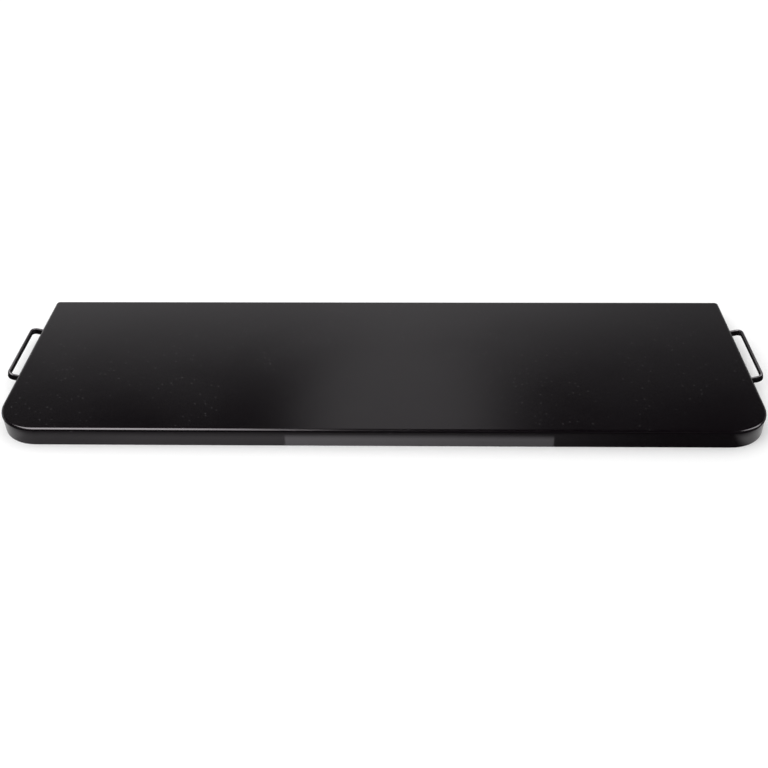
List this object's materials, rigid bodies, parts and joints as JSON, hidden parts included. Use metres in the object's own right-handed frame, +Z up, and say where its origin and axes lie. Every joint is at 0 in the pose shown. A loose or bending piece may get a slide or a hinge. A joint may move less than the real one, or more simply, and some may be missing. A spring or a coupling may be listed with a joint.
{
  "type": "flat top griddle",
  "caption": "Wide flat griddle top: a black coated steel plate with rounded front corners on a shallow welded skirt, with a bent bar handle bolted to each end.",
  "frame": {"origin": "on the surface that the griddle stands on, under the middle of its overall box", "axes": "+X along the width, to the right seen from the front; +Y to the back; +Z up"},
  "size_m": [0.9508, 0.281, 0.024],
  "materials": {
    "black_coating": "satin black powder coat, baked on to steel, with a very fine grain",
    "zinc_plate": "bright zinc plate on steel"
  },
  "bodies": {
    "root": {"top_plate": "black_coating", "skirt_front": "black_coating", "skirt_left": "black_coating", "skirt_right": "black_coating", "skirt_back": "black_coating", "stiffener_left": "black_coating", "stiffener_centre": "black_coating", "stiffener_right": "black_coating", "handle_left": "black_coating", "handle_right": "black_coating", "washer_left_front": "zinc_plate", "washer_left_back": "zinc_plate", "washer_right_front": "zinc_plate", "washer_right_back": "zinc_plate", "spring_washer_left_front": "zinc_plate", "spring_washer_left_back": "zinc_plate", "spring_washer_right_front": "zinc_plate", "spring_washer_right_back": "zinc_plate", "nut_left_front": "zinc_plate", "nut_left_back": "zinc_plate", "nut_right_front": "zinc_plate", "nut_right_back": "zinc_plate"}
  },
  "joints": []
}
